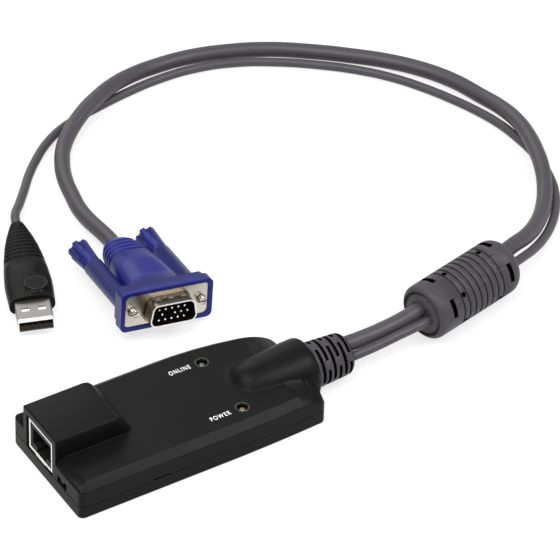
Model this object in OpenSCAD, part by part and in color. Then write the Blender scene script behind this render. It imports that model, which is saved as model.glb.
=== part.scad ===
/* [Housing] */
// Length of the housing without the cord boss
body_l = 92.3; // [86:0.1:98]
// Width of the housing
body_w = 44; // [42:0.5:56]
// Height of the flat top over the surface it lies on
body_h = 13; // [12.4:0.1:16]
// Height of the joint between the two covers
seam_z = 4.8; // [4.7:0.1:5.2]
// Wall of the covers
wall = 2; // [1.6:0.1:2.2]
// Floor of the bottom cover
floor_t = 2; // [1.4:0.1:2.2]
// Height that the bevel round the top takes up
bevel_h = 2.4; // [1:0.1:3]
// Width of the bevel along the long sides
bevel_w = 3; // [1:0.1:3.6]
// Length of the bevel at the socket end
bevel_l = 3.6; // [1:0.1:4]
// How far the near long side draws in at the cord end
near_in = 1.2; // [0:0.1:3]
// How far the far long side draws in at the cord end
far_in = 6; // [2:0.1:6.4]
// Length over which the long sides draw in
taper_l = 40; // [24:1:45]
// Radius of the shoulder that rolls down at the cord end
shoulder_r = 18; // [16:0.5:40]
// Length of that shoulder
shoulder_l = 10; // [8:0.5:14]
// Corner radius in plan
corner_r = 2; // [1:0.1:2.6]
// Height over the raised socket end
hump_h = 20.8; // [19.6:0.1:24]
// Width of the raised socket end
hump_w = 20.8; // [18.4:0.1:24]
// Length of the raised socket end along its top
hump_l = 23.9; // [20.4:0.1:26]
// Length of the slope behind it
hump_slope = 4.7; // [3:0.1:10]
// How far the raised end lies off the middle
hump_y = 4.5; // [2:0.1:5]

/* [Cord boss] */
// How far the boss stands out past the housing
boss_reach = 3.9; // [3.6:0.1:5]
// Radius of the boss where it is thickest
boss_r = 10.7; // [10.2:0.1:11.6]
// Length of the boss from its tip on the flat top to its end face
boss_l = 29; // [24:0.5:33]
// Radius of the boss at its end face
boss_end_r = 8.5; // [8.4:0.1:9.6]
// Height of the cord line in the boss
cord_z = 7.8; // [7.4:0.1:8.6]
// How far the cord line lies off the middle
cord_y = -2.2; // [-3:0.1:0]

/* [Strain relief] */
// Length of the strain relief outside the boss
relief_l = 15; // [13:0.5:18]
// Radius of the strain relief at the boss
relief_r = 8; // [7.6:0.1:8.3]
// Radius of the strain relief where it begins to round off
relief_end_r = 7.3; // [7:0.1:7.6]
// Width of one flex slot
slot_w = 1.1; // [0.6:0.1:1.3]
// Depth of the flex slots
slot_depth = 1.5; // [0.8:0.1:1.6]
// Rows of flex slots
slot_rows = 6; // [3:1:7]

/* [Socket] */
// Width of the shielded socket
jack_w = 15.8; // [15.4:0.1:16.2]
// Height of the shielded socket
jack_h = 13.1; // [12.8:0.1:13.4]
// Depth of the shielded socket
jack_l = 18; // [17:0.5:20]
// Width of the hole for the plug
socket_w = 11.8; // [11.6:0.1:12.2]
// Height of the hole for the plug
socket_h = 6.9; // [6.7:0.1:7.2]
// Depth of the hole for the plug
socket_l = 14; // [13:0.5:15]
// Width of the channel for the plug's latch
latch_w = 6.2; // [6:0.1:6.6]

/* [Board] */
// Thickness of the circuit board
pcb_t = 1.6; // [1.2:0.1:1.8]
// Height of the board's top face
pcb_top = 4.6; // [4.5:0.1:4.8]
// Distance between the board and each long side of the housing
pcb_side = 7.2; // [7:0.1:7.7]
// Length of the board
pcb_l = 70; // [66:0.5:74]

/* [Lamps and switch] */
// Radius of a lamp's body
led_r = 1.5; // [1:0.1:1.6]
// Radius of the hole over a lamp
led_hole_r = 1.8; // [1.75:0.05:2.2]
// Distance of the online lamp from the far side of the housing
online_side = 10.3; // [9.6:0.1:12]
// Distance of the power lamp from the near side of the housing
power_side = 8.3; // [8:0.1:10]
// Distance of the lamps from the socket end
led_x = 64.5; // [60:0.1:66]
// Travel of the recovery switch
switch_travel = 2; // [1:0.1:2.4]
// Distance of the recovery switch from the middle
switch_y = -10; // [-10.8:0.1:-9.6]

/* [Cords] */
// Diameter of the video cord
vga_cord_d = 5.6; // [5:0.1:5.8]
// Diameter of the data cord
usb_cord_d = 3.2; // [2.8:0.1:3.4]

/* [Ferrite] */
// Length of the ferrite's moulded sleeve
ferrite_l = 40; // [36:0.5:44]
// Diameter of the ferrite's moulded sleeve
ferrite_d = 19.6; // [19:0.1:20.4]
// Grooves round the sleeve
ferrite_grooves = 8; // [4:1:8]
// Distance between two grooves
groove_pitch = 2.7; // [2.2:0.1:2.8]

/* [Video plug] */
// Width of the plug's front flange
flange_w = 33.4; // [32.6:0.1:35]
// Height of the plug's front flange
flange_h = 14.7; // [14.4:0.1:15.2]
// Thickness of the front flange
flange_t = 3.4; // [3.4:0.1:4]
// Width of the plug's body behind the flange
hood_w = 20.4; // [19.6:0.1:21]
// Height of the plug's body behind the flange
hood_h = 12.4; // [11.6:0.1:12.6]
// Length of the plug from its plate to the cord
hood_l = 40.8; // [40:0.1:44]
// Width of the steel plate
plate_w = 30.8; // [30.4:0.1:31.2]
// Height of the steel plate
plate_h = 12.6; // [12.2:0.1:12.8]
// Distance between the two thumbscrews
screw_gap = 25; // [24.8:0.1:25]
// Radius of a thumbscrew's shaft
screw_r = 1.42; // [1.3:0.02:1.48]
// How far a thumbscrew slides back
screw_float = 4; // [2:0.1:4.2]
// Length of a thumbscrew's knob
knob_l = 11.8; // [9:0.1:12]
// Distance between two pins in a row
pin_pitch = 2.29; // [2.25:0.01:2.32]
// Distance between two rows of pins
pin_row = 1.98; // [1.9:0.01:2]

/* [Data plug] */
// Width of the plug's steel shell
usb_w = 12; // [11.9:0.1:12.2]
// Height of the plug's steel shell
usb_h = 4.5; // [4.4:0.1:4.6]
// How far the shell stands out of its boot
usb_l = 10.7; // [10:0.1:12]
// Length of the boot
boot_l = 42.2; // [40:0.1:46]
// Width of the boot at its widest
boot_w = 16.3; // [15:0.1:17.4]
// Height of the boot at its highest
boot_h = 8.2; // [7.6:0.1:8.2]
// Grooves round the back of the boot
boot_grooves = 10; // [4:1:10]

/* [Hidden] */
$fn = 64;

// Cuts run past what they cut by this much
over = 0.5;
// Gap round a piece that is dropped into its seat
fit_gap = 0.1;
// Running gap of the clips on the thumbscrews
run_gap = 0.05;
// Steps in a rounded corner of the housing
corner_steps = 4;
// Steps along the stretch where the sides draw in
taper_steps = 4;
// Steps along the shoulder
shoulder_steps = 6;

// Lip of the bottom cover that stands inside the top cover
lip_t = 0.8;
lip_h = 0.9;
lip_end = 4.4;
bottom_edge = 0.3;

jack_x = -(body_l + boss_reach) / 2;
end_x = jack_x + body_l;
boss_x = end_x + boss_reach;
shoulder_x = end_x - shoulder_l;
taper_x = end_x - taper_l;
lip_in = wall + fit_gap + lip_t;

// Distance that a corner takes off the half width, at a distance from the end
function corner_cut(d) = d >= corner_r ? 0 : corner_r - sqrt(pow(corner_r, 2) - pow(corner_r - d, 2));
function side_w(x, in) = body_w / 2 - in * pow(max(0, x - taper_x) / taper_l, 2)
    - corner_cut(min(x - jack_x, end_x - x));
function near_w(x) = side_w(x, near_in);
function far_w(x) = side_w(x, far_in);
function top_drop(x) = x <= shoulder_x ? 0 : shoulder_r - sqrt(pow(shoulder_r, 2) - pow(x - shoulder_x, 2));
function corner_at(i) = corner_r * (1 - cos(90 * i / corner_steps));

// Places along the housing at which its section is drawn
stations = concat(
    [for (i = [0:corner_steps]) jack_x + corner_at(i)],
    [for (i = [0:taper_steps - 1]) taper_x + (shoulder_x - taper_x) * i / taper_steps],
    [for (i = [0:shoulder_steps - 1]) shoulder_x + (shoulder_l - corner_r) * i / shoulder_steps],
    [for (i = [corner_steps:-1:0]) end_x - corner_at(i)]);

// Place of an inner station, drawn in from the outer one
function drawn_in(x, t) = jack_x + t + (x - jack_x) * (body_l - 2 * t) / body_l;

// Section of the top cover, as points across and up, drawn in by t and reaching down to low
function top_section(x, t, low) =
    let (near = near_w(x) - t, far = far_w(x) - t, top = body_h - top_drop(x) - t, side = top - bevel_h,
        at = drawn_in(x, t))
    [[at, -near, low], [at, far, low], [at, far, side], [at, far - bevel_w, top], [at, bevel_w - near, top],
     [at, -near, side]];

// Section of the bottom cover
function bottom_section(x, t, low, high, edge) =
    let (near = near_w(x) - t, far = far_w(x) - t, at = drawn_in(x, t))
    [[at, edge - near, low], [at, far - edge, low], [at, far, low + edge], [at, far, high], [at, -near, high],
     [at, -near, low + edge]];

function flat(rings) = [for (ring = rings) for (point = ring) point];

// One closed solid through a row of rings that have as many points each
module skin(rings) {
    n = len(rings[0]);
    last = (len(rings) - 1) * n;
    polyhedron(flat(rings), concat(
        [[for (i = [0:n - 1]) i]],
        [for (r = [0:len(rings) - 2]) for (i = [0:n - 1]) [r * n + i, r * n + n + i, r * n + n + (i + 1) % n]],
        [for (r = [0:len(rings) - 2]) for (i = [0:n - 1]) [r * n + i, r * n + n + (i + 1) % n, r * n + (i + 1) % n]],
        [[for (i = [n - 1:-1:0]) last + i]]));
}

// A box from its lowest to its highest corner
module block(low, high) {
    translate(low) cube(high - low);
}

// A round bar along X
module bar_x(r, x0, x1) {
    translate([x0, 0, 0]) rotate([0, 90, 0]) cylinder(r = r, h = x1 - x0);
}

// A round bar along Y
module bar_y(r, y0, y1) {
    translate([0, y0, 0]) rotate([-90, 0, 0]) cylinder(r = r, h = y1 - y0);
}

// A flat outline, drawn across and up, pushed along Y
module push_y(y0, y1) {
    translate([0, y1, 0]) rotate([90, 0, 0]) linear_extrude(y1 - y0) children();
}

// A rectangle with round corners, centred
module round_rect(w, h, r) {
    square([w - 2 * r, h], center = true);
    square([w, h - 2 * r], center = true);
    for (x = [-1, 1], y = [-1, 1]) translate([x * (w / 2 - r), y * (h / 2 - r)]) circle(r = r);
}

// The raised socket end, drawn in by t on its sides, top and slope
hump_side = hump_y - hump_w / 2;
module hump_form(t, low, front) {
    top = hump_h - t;
    back = jack_x + hump_l - t;
    foot = back + hump_slope * (top - low) / (hump_h - body_h);
    translate([0, hump_side + hump_w - t, 0]) rotate([90, 0, 0]) linear_extrude(hump_w - 2 * t)
        polygon([[front, low], [foot, low], [back, top], [front, top]]);
}

// The cord boss, turned about the cord line and drawn in by t
boss_tip_x = boss_x - boss_l;
boss_round = boss_r - boss_end_r;
boss_turn = 22.5;
// Radius of the boss along its length, from its tip on
boss_shares = [[0, 0.48], [0.06, 0.68], [0.13, 0.81], [0.3, 0.88], [0.6, 0.953], [0.8, 0.99]];
module boss_form(t, from, to) {
    translate([0, cord_y, cord_z]) rotate([0, 90, 0]) rotate_extrude() difference() {
        polygon(concat([[0, boss_tip_x]],
            [for (place = boss_shares) [boss_r * place[1] - t, boss_tip_x + boss_l * place[0]]],
            [for (a = [0:boss_turn:90]) [boss_end_r - t + boss_round * cos(a), boss_x + boss_round * (sin(a) - 1)]],
            [[0, boss_x]]));
        translate([0, to]) square([2 * boss_r, body_l]);
        translate([0, from - body_l]) square([2 * boss_r, body_l]);
    }
}

neck_r = 6.2;
neck_wall = 2.2;
flange_r = 7.4;
housing_over = hump_h + boss_r;
module above(z) {
    block([jack_x - over, -body_w, z], [boss_x + boss_l, body_w, housing_over]);
}
module between(z0, z1) {
    block([jack_x - over, -body_w, z0], [boss_x + boss_l, body_w, z1]);
}

// Room inside the boss and the hole that the neck of the strain relief sits in
module boss_room() {
    intersection() {
        boss_form(wall, boss_tip_x + wall, boss_x - neck_wall);
        above(floor_t);
    }
    translate([0, cord_y, cord_z]) bar_x(neck_r + fit_gap, boss_x - neck_wall - over, boss_x + over);
}

// Screws that close the housing
post_r = 2.5;
case_screw_r = 1.1;
case_head_r = 2;
case_head_h = 1.3;
head_seat = 1.7;
case_screw_l = 7;
post_front = 14;
post_back = 10;
post_side = 5.5;
post_places = [for (x = [jack_x + post_front, end_x - post_back], y = [far_w(x) - post_side, post_side - near_w(x)])
    [x, y]];
module at_posts() {
    for (place = post_places) translate([place[0], place[1], 0]) children();
}

jack_inset = 0.4;
jack_front = jack_x + jack_inset;
jack_back = jack_front + jack_l;
jack_z = pcb_top;
jack_gap = 0.5;
jack_wall = 0.45;
module jack_window() {
    block([jack_x - over, hump_y - jack_w / 2 - jack_gap, seam_z - 2 * over],
        [jack_front + wall, hump_y + jack_w / 2 + jack_gap, jack_z + jack_h + jack_gap]);
}

lamp_x = jack_x + led_x;
lamp_bevel_r = 2.3;
lamp_bevel_h = 0.6;
online_y = body_w / 2 - online_side;
power_y = power_side - body_w / 2;
module lamp_holes() {
    for (y = [online_y, power_y]) translate([lamp_x, y, 0]) {
        cylinder(r = led_hole_r, h = body_h + over);
        translate([0, 0, body_h - lamp_bevel_h])
            cylinder(r1 = led_hole_r, r2 = lamp_bevel_r, h = lamp_bevel_h);
        translate([0, 0, body_h]) cylinder(r = lamp_bevel_r, h = over);
    }
}

// Sizes of the small slide switch
case_l = 8.6;
case_d = 4.2;
case_h = 3.4;
case_wall = 0.4;
slider_gap = 0.12;
knob_w = 2.2;
knob_h = 1.5;
knob_room = 0.3;
switch_x = jack_x + wall + knob_room;
switch_mid = pcb_top + case_h / 2;
window_l = switch_travel + knob_w + 2 * slider_gap;
slot_room = 0.7;
module switch_window() {
    block([jack_x - over, switch_y - window_l / 2 - slot_room, seam_z - 2 * over],
        [jack_x + wall + over, switch_y + window_l / 2 + slot_room, switch_mid + knob_h / 2 + slot_room]);
}

pry_l = 6.5;
pry_at = 26.5;
pry_x = jack_x + pry_at;
pry_h = 0.7;
pry_t = 0.7;
rib_r = 1.2;
// Ribs that hold the board down: along the board and across from its middle
rib_shares = [[0.57, -0.4], [0.57, 0.4], [0.68, -0.03]];
pcb_w = body_w - 2 * pcb_side;
pcb_x = jack_x + lip_in + fit_gap;
pcb_end = pcb_x + pcb_l;
module at_board(shares) {
    for (place = shares) translate([pcb_x + place[0] * pcb_l, place[1] * pcb_w, 0]) children();
}

module top_cover() {
    color([0.12, 0.12, 0.12]) difference() {
        union() {
            difference() {
                union() {
                    difference() {
                        skin([for (x = stations) top_section(x, 0, seam_z)]);
                        translate([jack_x, -body_w, body_h - bevel_h])
                            rotate([0, -atan2(bevel_h, bevel_l), 0])
                            translate([-body_w, 0, 0]) cube([3 * body_w, 2 * body_w, body_w]);
                    }
                    hump_form(0, seam_z, jack_x);
                    intersection() {
                        boss_form(0, boss_tip_x, boss_x);
                        above(seam_z);
                    }
                }
                skin([for (x = stations) top_section(x, wall, seam_z - over)]);
                hump_form(wall, seam_z - over, jack_x + wall);
                boss_room();
            }
            intersection() {
                at_posts() translate([0, 0, seam_z + fit_gap]) cylinder(r = post_r, h = body_h - wall - seam_z);
                skin([for (x = stations) top_section(x, wall / 2, seam_z)]);
            }
            at_board(rib_shares) translate([0, 0, pcb_top + fit_gap])
                cylinder(r = rib_r, h = body_h - wall / 2 - pcb_top - fit_gap);
        }
        at_posts() cylinder(r = case_screw_r + run_gap, h = head_seat + case_screw_l + over);
        jack_window();
        lamp_holes();
        switch_window();
        block([pry_x, -body_w, seam_z - over], [pry_x + pry_l, pry_t - body_w / 2, seam_z + pry_h]);
    }
}

pillar_r = 1.6;
// Pillars that the board rests on: along the board and across from its middle
pillar_shares = [[0.07, 0.42], [0.3, -0.42], [0.9, 0.35], [0.9, -0.35]];
module bottom_cover() {
    color([0.14, 0.14, 0.14]) difference() {
        union() {
            difference() {
                skin([for (x = stations) bottom_section(x, 0, 0, seam_z, bottom_edge)]);
                skin([for (x = stations) bottom_section(x, lip_in, floor_t, seam_z + over, 0)]);
            }
            intersection() {
                difference() {
                    skin([for (x = stations) bottom_section(x, wall + fit_gap, floor_t / 2, seam_z + lip_h, 0)]);
                    skin([for (x = stations) bottom_section(x, lip_in, floor_t, seam_z + lip_h + over, 0)]);
                }
                block([jack_x, -body_w, 0], [end_x - lip_end, body_w, body_h]);
            }
            intersection() {
                boss_form(0, end_x - corner_r, boss_x);
                between(0, seam_z);
            }
            intersection() {
                at_posts() cylinder(r = post_r + wall / 2, h = seam_z);
                between(floor_t / 2, seam_z);
            }
            at_board(pillar_shares) translate([0, 0, floor_t / 2])
                cylinder(r = pillar_r, h = pcb_top - pcb_t - floor_t / 2);
        }
        boss_room();
        at_posts() {
            translate([0, 0, -over]) cylinder(r = case_screw_r + run_gap, h = seam_z + 2 * over);
            translate([0, 0, -over]) cylinder(r = case_head_r + fit_gap, h = head_seat + over);
            translate([0, 0, seam_z]) cylinder(r = post_r + fit_gap, h = lip_h + over);
        }
        block([jack_x - over, hump_y - jack_w / 2 - jack_gap, pcb_top - fit_gap],
            [jack_x + lip_in + over, hump_y + jack_w / 2 + jack_gap, hump_h]);
        block([jack_x - over, switch_y - case_l / 2 - fit_gap, seam_z],
            [jack_x + lip_in + over, switch_y + case_l / 2 + fit_gap, hump_h]);
        block([jack_x + wall + fit_gap, switch_y - case_l / 2 - fit_gap, pcb_top - fit_gap],
            [jack_x + lip_in + over, switch_y + case_l / 2 + fit_gap, hump_h]);
    }
}

module circuit_board() {
    color([0.05, 0.3, 0.16]) difference() {
        block([pcb_x, -pcb_w / 2, pcb_top - pcb_t], [pcb_end, pcb_w / 2, pcb_top]);
        at_posts() cylinder(r = post_r + wall / 2 + fit_gap, h = body_h);
    }
}

// Chips on the board: along it, across from its middle, then their length, width and height
chip_shares = [
    [0.44, -0.2, 0.2, 0.47, 0.9], [0.44, 0.29, 0.13, 0.24, 0.75], [0.685, 0.22, 0.14, 0.2, 1],
    [0.655, -0.27, 0.085, 0.17, 0.75], [0.33, -0.39, 0.057, 0.1, 0.9], [0.815, -0.035, 0.1, 0.135, 1.4],
    [0.27, -0.43, 0.043, 0.068, 0.6], [0.53, 0.455, 0.043, 0.068, 0.6]];
cap_r = 2.5;
cap_h = 5.4;
cap_shares = [[0.33, 0.3], [0.27, -0.12], [0.96, -0.4]];
module board_chips() {
    color([0.08, 0.08, 0.09]) {
        for (chip = chip_shares) translate([pcb_x + (chip[0] - chip[2] / 2) * pcb_l, (chip[1] - chip[3] / 2) * pcb_w, pcb_top])
            cube([chip[2] * pcb_l, chip[3] * pcb_w, chip[4] * pcb_t]);
        at_board(cap_shares) translate([0, 0, pcb_top]) cylinder(r = cap_r, h = cap_h);
    }
}

socket_roof = 3.4;
socket_z = jack_z + jack_h - socket_roof - socket_h;
latch_h = 1.8;
module jack_shield() {
    color([0.8, 0.8, 0.78]) difference() {
        block([jack_front, hump_y - jack_w / 2, jack_z], [jack_back, hump_y + jack_w / 2, jack_z + jack_h]);
        block([jack_front - over, hump_y - jack_w / 2 + jack_wall, jack_z + jack_wall],
            [jack_back - jack_wall, hump_y + jack_w / 2 - jack_wall, jack_z + jack_h - jack_wall]);
        block([jack_front - over, hump_y - latch_w / 2, jack_z - over],
            [jack_front + socket_l, hump_y + latch_w / 2, jack_z + jack_wall + over]);
    }
}

insert_set = 0.5;
module jack_insert() {
    gap = jack_wall + fit_gap;
    color([0.1, 0.1, 0.1]) difference() {
        block([jack_front + insert_set, hump_y - jack_w / 2 + gap, jack_z + gap],
            [jack_back - gap, hump_y + jack_w / 2 - gap, jack_z + jack_h - gap]);
        block([jack_front, hump_y - socket_w / 2, socket_z],
            [jack_front + socket_l, hump_y + socket_w / 2, socket_z + socket_h]);
        block([jack_front, hump_y - latch_w / 2, socket_z - latch_h],
            [jack_front + socket_l, hump_y + latch_w / 2, socket_z + over]);
        block([jack_front + socket_l / 4, hump_y - socket_w / 2, socket_z + socket_h - over],
            [jack_front + socket_l, hump_y + socket_w / 2, socket_z + socket_h + contact_room]);
    }
}

contact_count = 8;
contact_pitch = 1.02;
contact_t = 0.35;
contact_room = 1.6;
contact_dip = 1.7;
module jack_contacts() {
    root_z = socket_z + socket_h + contact_room;
    root_x = jack_front + socket_l / 4 + contact_t;
    color([0.9, 0.75, 0.35]) for (i = [0:contact_count - 1])
        translate([0, hump_y + (i - (contact_count - 1) / 2) * contact_pitch + contact_t / 2, 0])
        rotate([90, 0, 0]) linear_extrude(contact_t)
            polygon([[root_x, root_z], [root_x, root_z - contact_t],
                [root_x + socket_l / 2, root_z - contact_room - contact_dip],
                [root_x + socket_l / 2 + contact_t, root_z - contact_room - contact_dip],
                [root_x + socket_l / 2 + contact_t, root_z - contact_room - contact_dip + contact_t],
                [root_x + contact_t, root_z]]);
}

led_l = 5.2;
led_sink = 0.5;
led_flange_r = 1.9;
led_flange_h = 0.9;
module lamp(y) {
    translate([lamp_x, y, body_h - led_sink - led_l]) {
        cylinder(r = led_flange_r, h = led_flange_h);
        cylinder(r = led_r, h = led_l - led_r);
        translate([0, 0, led_l - led_r]) sphere(r = led_r);
    }
}
module online_led() {
    color([0.55, 0.72, 0.5]) lamp(online_y);
}
module power_led() {
    color([0.85, 0.62, 0.25]) lamp(power_y);
}
spacer_wall = 0.4;
module led_spacers() {
    color([0.1, 0.1, 0.1]) for (y = [online_y, power_y]) translate([lamp_x, y, pcb_top])
        cylinder(r = led_r + spacer_wall, h = body_h - led_sink - led_l - pcb_top);
}

switch_rest = switch_travel / 2;
slider_l = case_l - 2 * case_wall - switch_travel - 2 * slider_gap;
module switch_case() {
    color([0.5, 0.5, 0.5]) difference() {
        block([switch_x, switch_y - case_l / 2, pcb_top],
            [switch_x + case_d, switch_y + case_l / 2, pcb_top + case_h]);
        block([switch_x + case_wall, switch_y - case_l / 2 + case_wall, pcb_top + case_wall],
            [switch_x + case_d - case_wall, switch_y + case_l / 2 - case_wall, pcb_top + case_h - case_wall]);
        block([switch_x - over, switch_y - window_l / 2, switch_mid - knob_h / 2 - slider_gap],
            [switch_x + case_wall + over, switch_y + window_l / 2, switch_mid + knob_h / 2 + slider_gap]);
    }
}
knob_out = 1.7;
module switch_slider() {
    mid = switch_y + switch_rest;
    color([0.05, 0.05, 0.05]) {
        block([switch_x + case_wall + slider_gap, mid - slider_l / 2, pcb_top + case_wall + slider_gap],
            [switch_x + case_d - case_wall - slider_gap, mid + slider_l / 2,
             pcb_top + case_h - case_wall - slider_gap]);
        block([switch_x - knob_out, mid - knob_w / 2, switch_mid - knob_h / 2],
            [switch_x + case_wall + over, mid + knob_w / 2, switch_mid + knob_h / 2]);
    }
}

header_l = 6;
header_w = 13;
header_h = 5.8;
header_edge = 1;
header_x = pcb_end - header_l - header_edge;
wire_r = 0.45;
cords_inside = 12;
cords_from = boss_x - cords_inside;
// Cores of each cord: across and up from the middle of their cord, as shares of its diameter
vga_core_shares = [[0, 0], [0.2, 0.07], [-0.2, 0.07], [0.11, -0.2], [-0.11, -0.2]];
usb_core_shares = [[0.17, 0.17], [-0.17, 0.17], [0.17, -0.17], [-0.17, -0.17]];
// The cords lie beside each other in the strain relief, at these places off the cord line
vga_in = [2.4, 0.9];
usb_in = [-1.9, -1.2];
module cord_header() {
    color([0.88, 0.86, 0.8]) block([header_x, cord_y - header_w / 2, pcb_top],
        [header_x + header_l, cord_y + header_w / 2, pcb_top + header_h]);
}
module core_wires() {
    color([0.55, 0.35, 0.3]) {
        for (core = vga_core_shares) translate([0, cord_y, cord_z] + [0, vga_in[0], vga_in[1]])
            translate(vga_cord_d * [0, core[0], core[1]]) bar_x(wire_r, header_x + header_l, cords_from);
        for (core = usb_core_shares) translate([0, cord_y, cord_z] + [0, usb_in[0], usb_in[1]])
            translate(usb_cord_d * [0, core[0], core[1]]) bar_x(wire_r, header_x + header_l, cords_from);
    }
}

vga_r = vga_cord_d / 2;
usb_r = usb_cord_d / 2;
tie_w = 2.4;
tie_t = 0.3;
tie_edge = 1.2;
tie_x = cords_from + tie_edge;
module tie(place, r, x) {
    translate([0, cord_y + place[0], cord_z + place[1]]) difference() {
        bar_x(r + tie_t, x, x + tie_w);
        bar_x(r + fit_gap, x - over, x + tie_w + over);
    }
}
module cord_ties() {
    color([0.85, 0.85, 0.82]) {
        tie(vga_in, vga_r, tie_x);
        tie(usb_in, usb_r, tie_x + tie_w + over);
    }
}

module case_screws() {
    color([0.3, 0.3, 0.32]) at_posts() {
        translate([0, 0, head_seat - case_head_h]) cylinder(r = case_head_r, h = case_head_h);
        translate([0, 0, head_seat - case_head_h / 2]) cylinder(r = case_screw_r, h = case_screw_l);
    }
}

relief_start = boss_x + fit_gap;
relief_end = relief_start + relief_l;
relief_round = 2.6;
slot_pitch = 2.15;
slot_first = 1.5;
slots_round = 3;
slot_arc = 96;
relief_flange = 2;
module strain_relief() {
    color([0.3, 0.29, 0.31]) translate([0, cord_y, cord_z]) difference() {
        union() {
            rotate([0, 90, 0]) rotate_extrude() {
                polygon([[0, relief_start], [relief_r, relief_start], [relief_end_r, relief_end - relief_round],
                    [relief_end_r - relief_round, relief_end], [0, relief_end]]);
                translate([relief_end_r - relief_round, relief_end - relief_round]) circle(r = relief_round);
            }
            bar_x(neck_r, boss_x - neck_wall - 2 * fit_gap, relief_start + over);
            intersection() {
                bar_x(flange_r, boss_x - neck_wall - relief_flange, boss_x - neck_wall - fit_gap);
                translate([0, 0, floor_t + fit_gap - cord_z]) above(0);
            }
        }
        for (row = [0:slot_rows - 1], i = [0:slots_round - 1])
            rotate([360 / slots_round * (i + row % 2 / 2), 0, 0])
            translate([relief_start + slot_first + row * slot_pitch, 0, 0])
            rotate([0, 90, 0]) rotate([0, 0, -slot_arc / 2]) rotate_extrude(angle = slot_arc)
            translate([relief_end_r - slot_depth, 0]) square([2 * slot_depth + over, slot_w]);
        for (cord = [[vga_in, vga_r], [usb_in, usb_r]]) translate([0, cord[0][0], cord[0][1]])
            bar_x(cord[1] + fit_gap, boss_x - neck_wall - 2 * relief_flange, relief_end + over);
    }
}

// Place of the ferrite: middle of its axis, and the turn of that axis
ferrite_at = [113.5, 4];
ferrite_turn = 13;
ferrite_r = ferrite_d / 2;
vga_through = [2.2, 0.8];
usb_through = [-2.6, -0.8];
// Turn of the cords against the ferrite's axis
through_turn = 1.5;
sleeve_round = 2.2;
sleeve_cone = 4.6;
cone_r = 6.2;
recess_r = 7;
recess_w = 1.2;
recess_depth = 1.2;
groove_w = 0.5;
groove_depth = 0.4;
hole_r = 0.9;
hole_at = 8.2;
holes_round = 6;
hole_turn = 80;
slit_at = 13.7;
slit_w = 1.8;
slit_arc = 40;
slits_round = 4;
slit_turn = 65;
core_r = 7.2;
core_l = 31;
core_hole_r = 5.6;
module at_ferrite() {
    translate([ferrite_at[0], ferrite_at[1], ferrite_r]) rotate([0, 0, ferrite_turn]) children();
}
module cords_through(gap, x0, x1) {
    rotate([0, 0, through_turn]) {
        translate([0, vga_through[0], vga_through[1]]) bar_x(vga_r + gap, x0, x1);
        translate([0, usb_through[0], usb_through[1]]) bar_x(usb_r + gap, x0, x1);
    }
}
module sleeve_outline() {
    half = ferrite_l / 2;
    polygon([[0, -half], [ferrite_r - sleeve_round, -half], [ferrite_r, sleeve_round - half],
        [ferrite_r, half - sleeve_cone], [cone_r, half], [0, half]]);
    translate([ferrite_r - sleeve_round, sleeve_round - half]) circle(r = sleeve_round);
    translate([ferrite_r - 2 * sleeve_round, half - sleeve_cone]) circle(r = 2 * sleeve_round);
}
module ferrite_sleeve() {
    half = ferrite_l / 2;
    color([0.31, 0.3, 0.32]) at_ferrite() difference() {
        rotate([0, 90, 0]) rotate_extrude() difference() {
            sleeve_outline();
            translate([recess_r, -half - over]) square([recess_w, recess_depth + over]);
            for (i = [0:ferrite_grooves - 1])
                translate([ferrite_r - groove_depth, (i - (ferrite_grooves - 1) / 2) * groove_pitch - groove_w / 2])
                square([over + groove_depth, groove_w]);
            translate([0, -core_l / 2 - fit_gap]) square([core_r + fit_gap, core_l + 2 * fit_gap]);
            translate([-2 * ferrite_r, -2 * ferrite_l]) square([2 * ferrite_r, 4 * ferrite_l]);
        }
        for (x = [-hole_at, hole_at], i = [0:holes_round - 1])
            rotate([hole_turn + i * 360 / holes_round, 0, 0]) translate([x, 0, 0]) bar_y(hole_r, 0, ferrite_d);
        for (x = [-slit_at, slit_at], i = [0:slits_round - 1])
            rotate([slit_turn + i * 360 / slits_round, 0, 0]) translate([x - slit_w / 2, 0, 0])
            rotate([0, 90, 0]) rotate([0, 0, -slit_arc / 2]) rotate_extrude(angle = slit_arc)
            translate([core_r - over, 0]) square([ferrite_r, slit_w]);
        cords_through(fit_gap, -ferrite_l, ferrite_l);
    }
}
module ferrite_core() {
    color([0.16, 0.16, 0.17]) at_ferrite() difference() {
        bar_x(core_r, -core_l / 2, core_l / 2);
        bar_x(core_hole_r, -core_l, core_l);
    }
}

// Turns of a point about the three axes
function turn_x(p, a) = [p[0], p[1] * cos(a) - p[2] * sin(a), p[1] * sin(a) + p[2] * cos(a)];
function turn_y(p, a) = [p[0] * cos(a) + p[2] * sin(a), p[1], p[2] * cos(a) - p[0] * sin(a)];
function turn_z(p, a) = [p[0] * cos(a) - p[1] * sin(a), p[0] * sin(a) + p[1] * cos(a), p[2]];

// Place of the video plug: middle of its plate, and how it is turned, tipped up and rolled
vga_at = [22.9, 45.4, 10.3];
vga_turn = -5.3;
vga_tip = -7;
vga_roll = 6;
module at_vga() {
    translate(vga_at) rotate([0, 0, vga_turn]) rotate([vga_tip, 0, 0]) rotate([0, vga_roll, 0]) children();
}
function vga_point(p) = vga_at + turn_z(turn_x(turn_y(p, vga_roll), vga_tip), vga_turn);

// Place of the data plug: middle of its boot's front face, and how it is turned and rolled
usb_at = [-12.3, 73.4, 4.6];
usb_turn = -22;
usb_roll = -3;
module at_usb() {
    translate(usb_at) rotate([0, 0, usb_turn]) rotate([0, usb_roll, 0]) children();
}
function usb_point(p) = usb_at + turn_z(turn_y(p, usb_roll), usb_turn);
function ferrite_point(p) = [ferrite_at[0], ferrite_at[1], ferrite_r] + turn_z(p, ferrite_turn + through_turn);

// How deep each cord is moulded into its plug
cord_depth = 8;
cord_straight = 5;
ferrite_out = ferrite_l / 2 + over;

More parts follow.
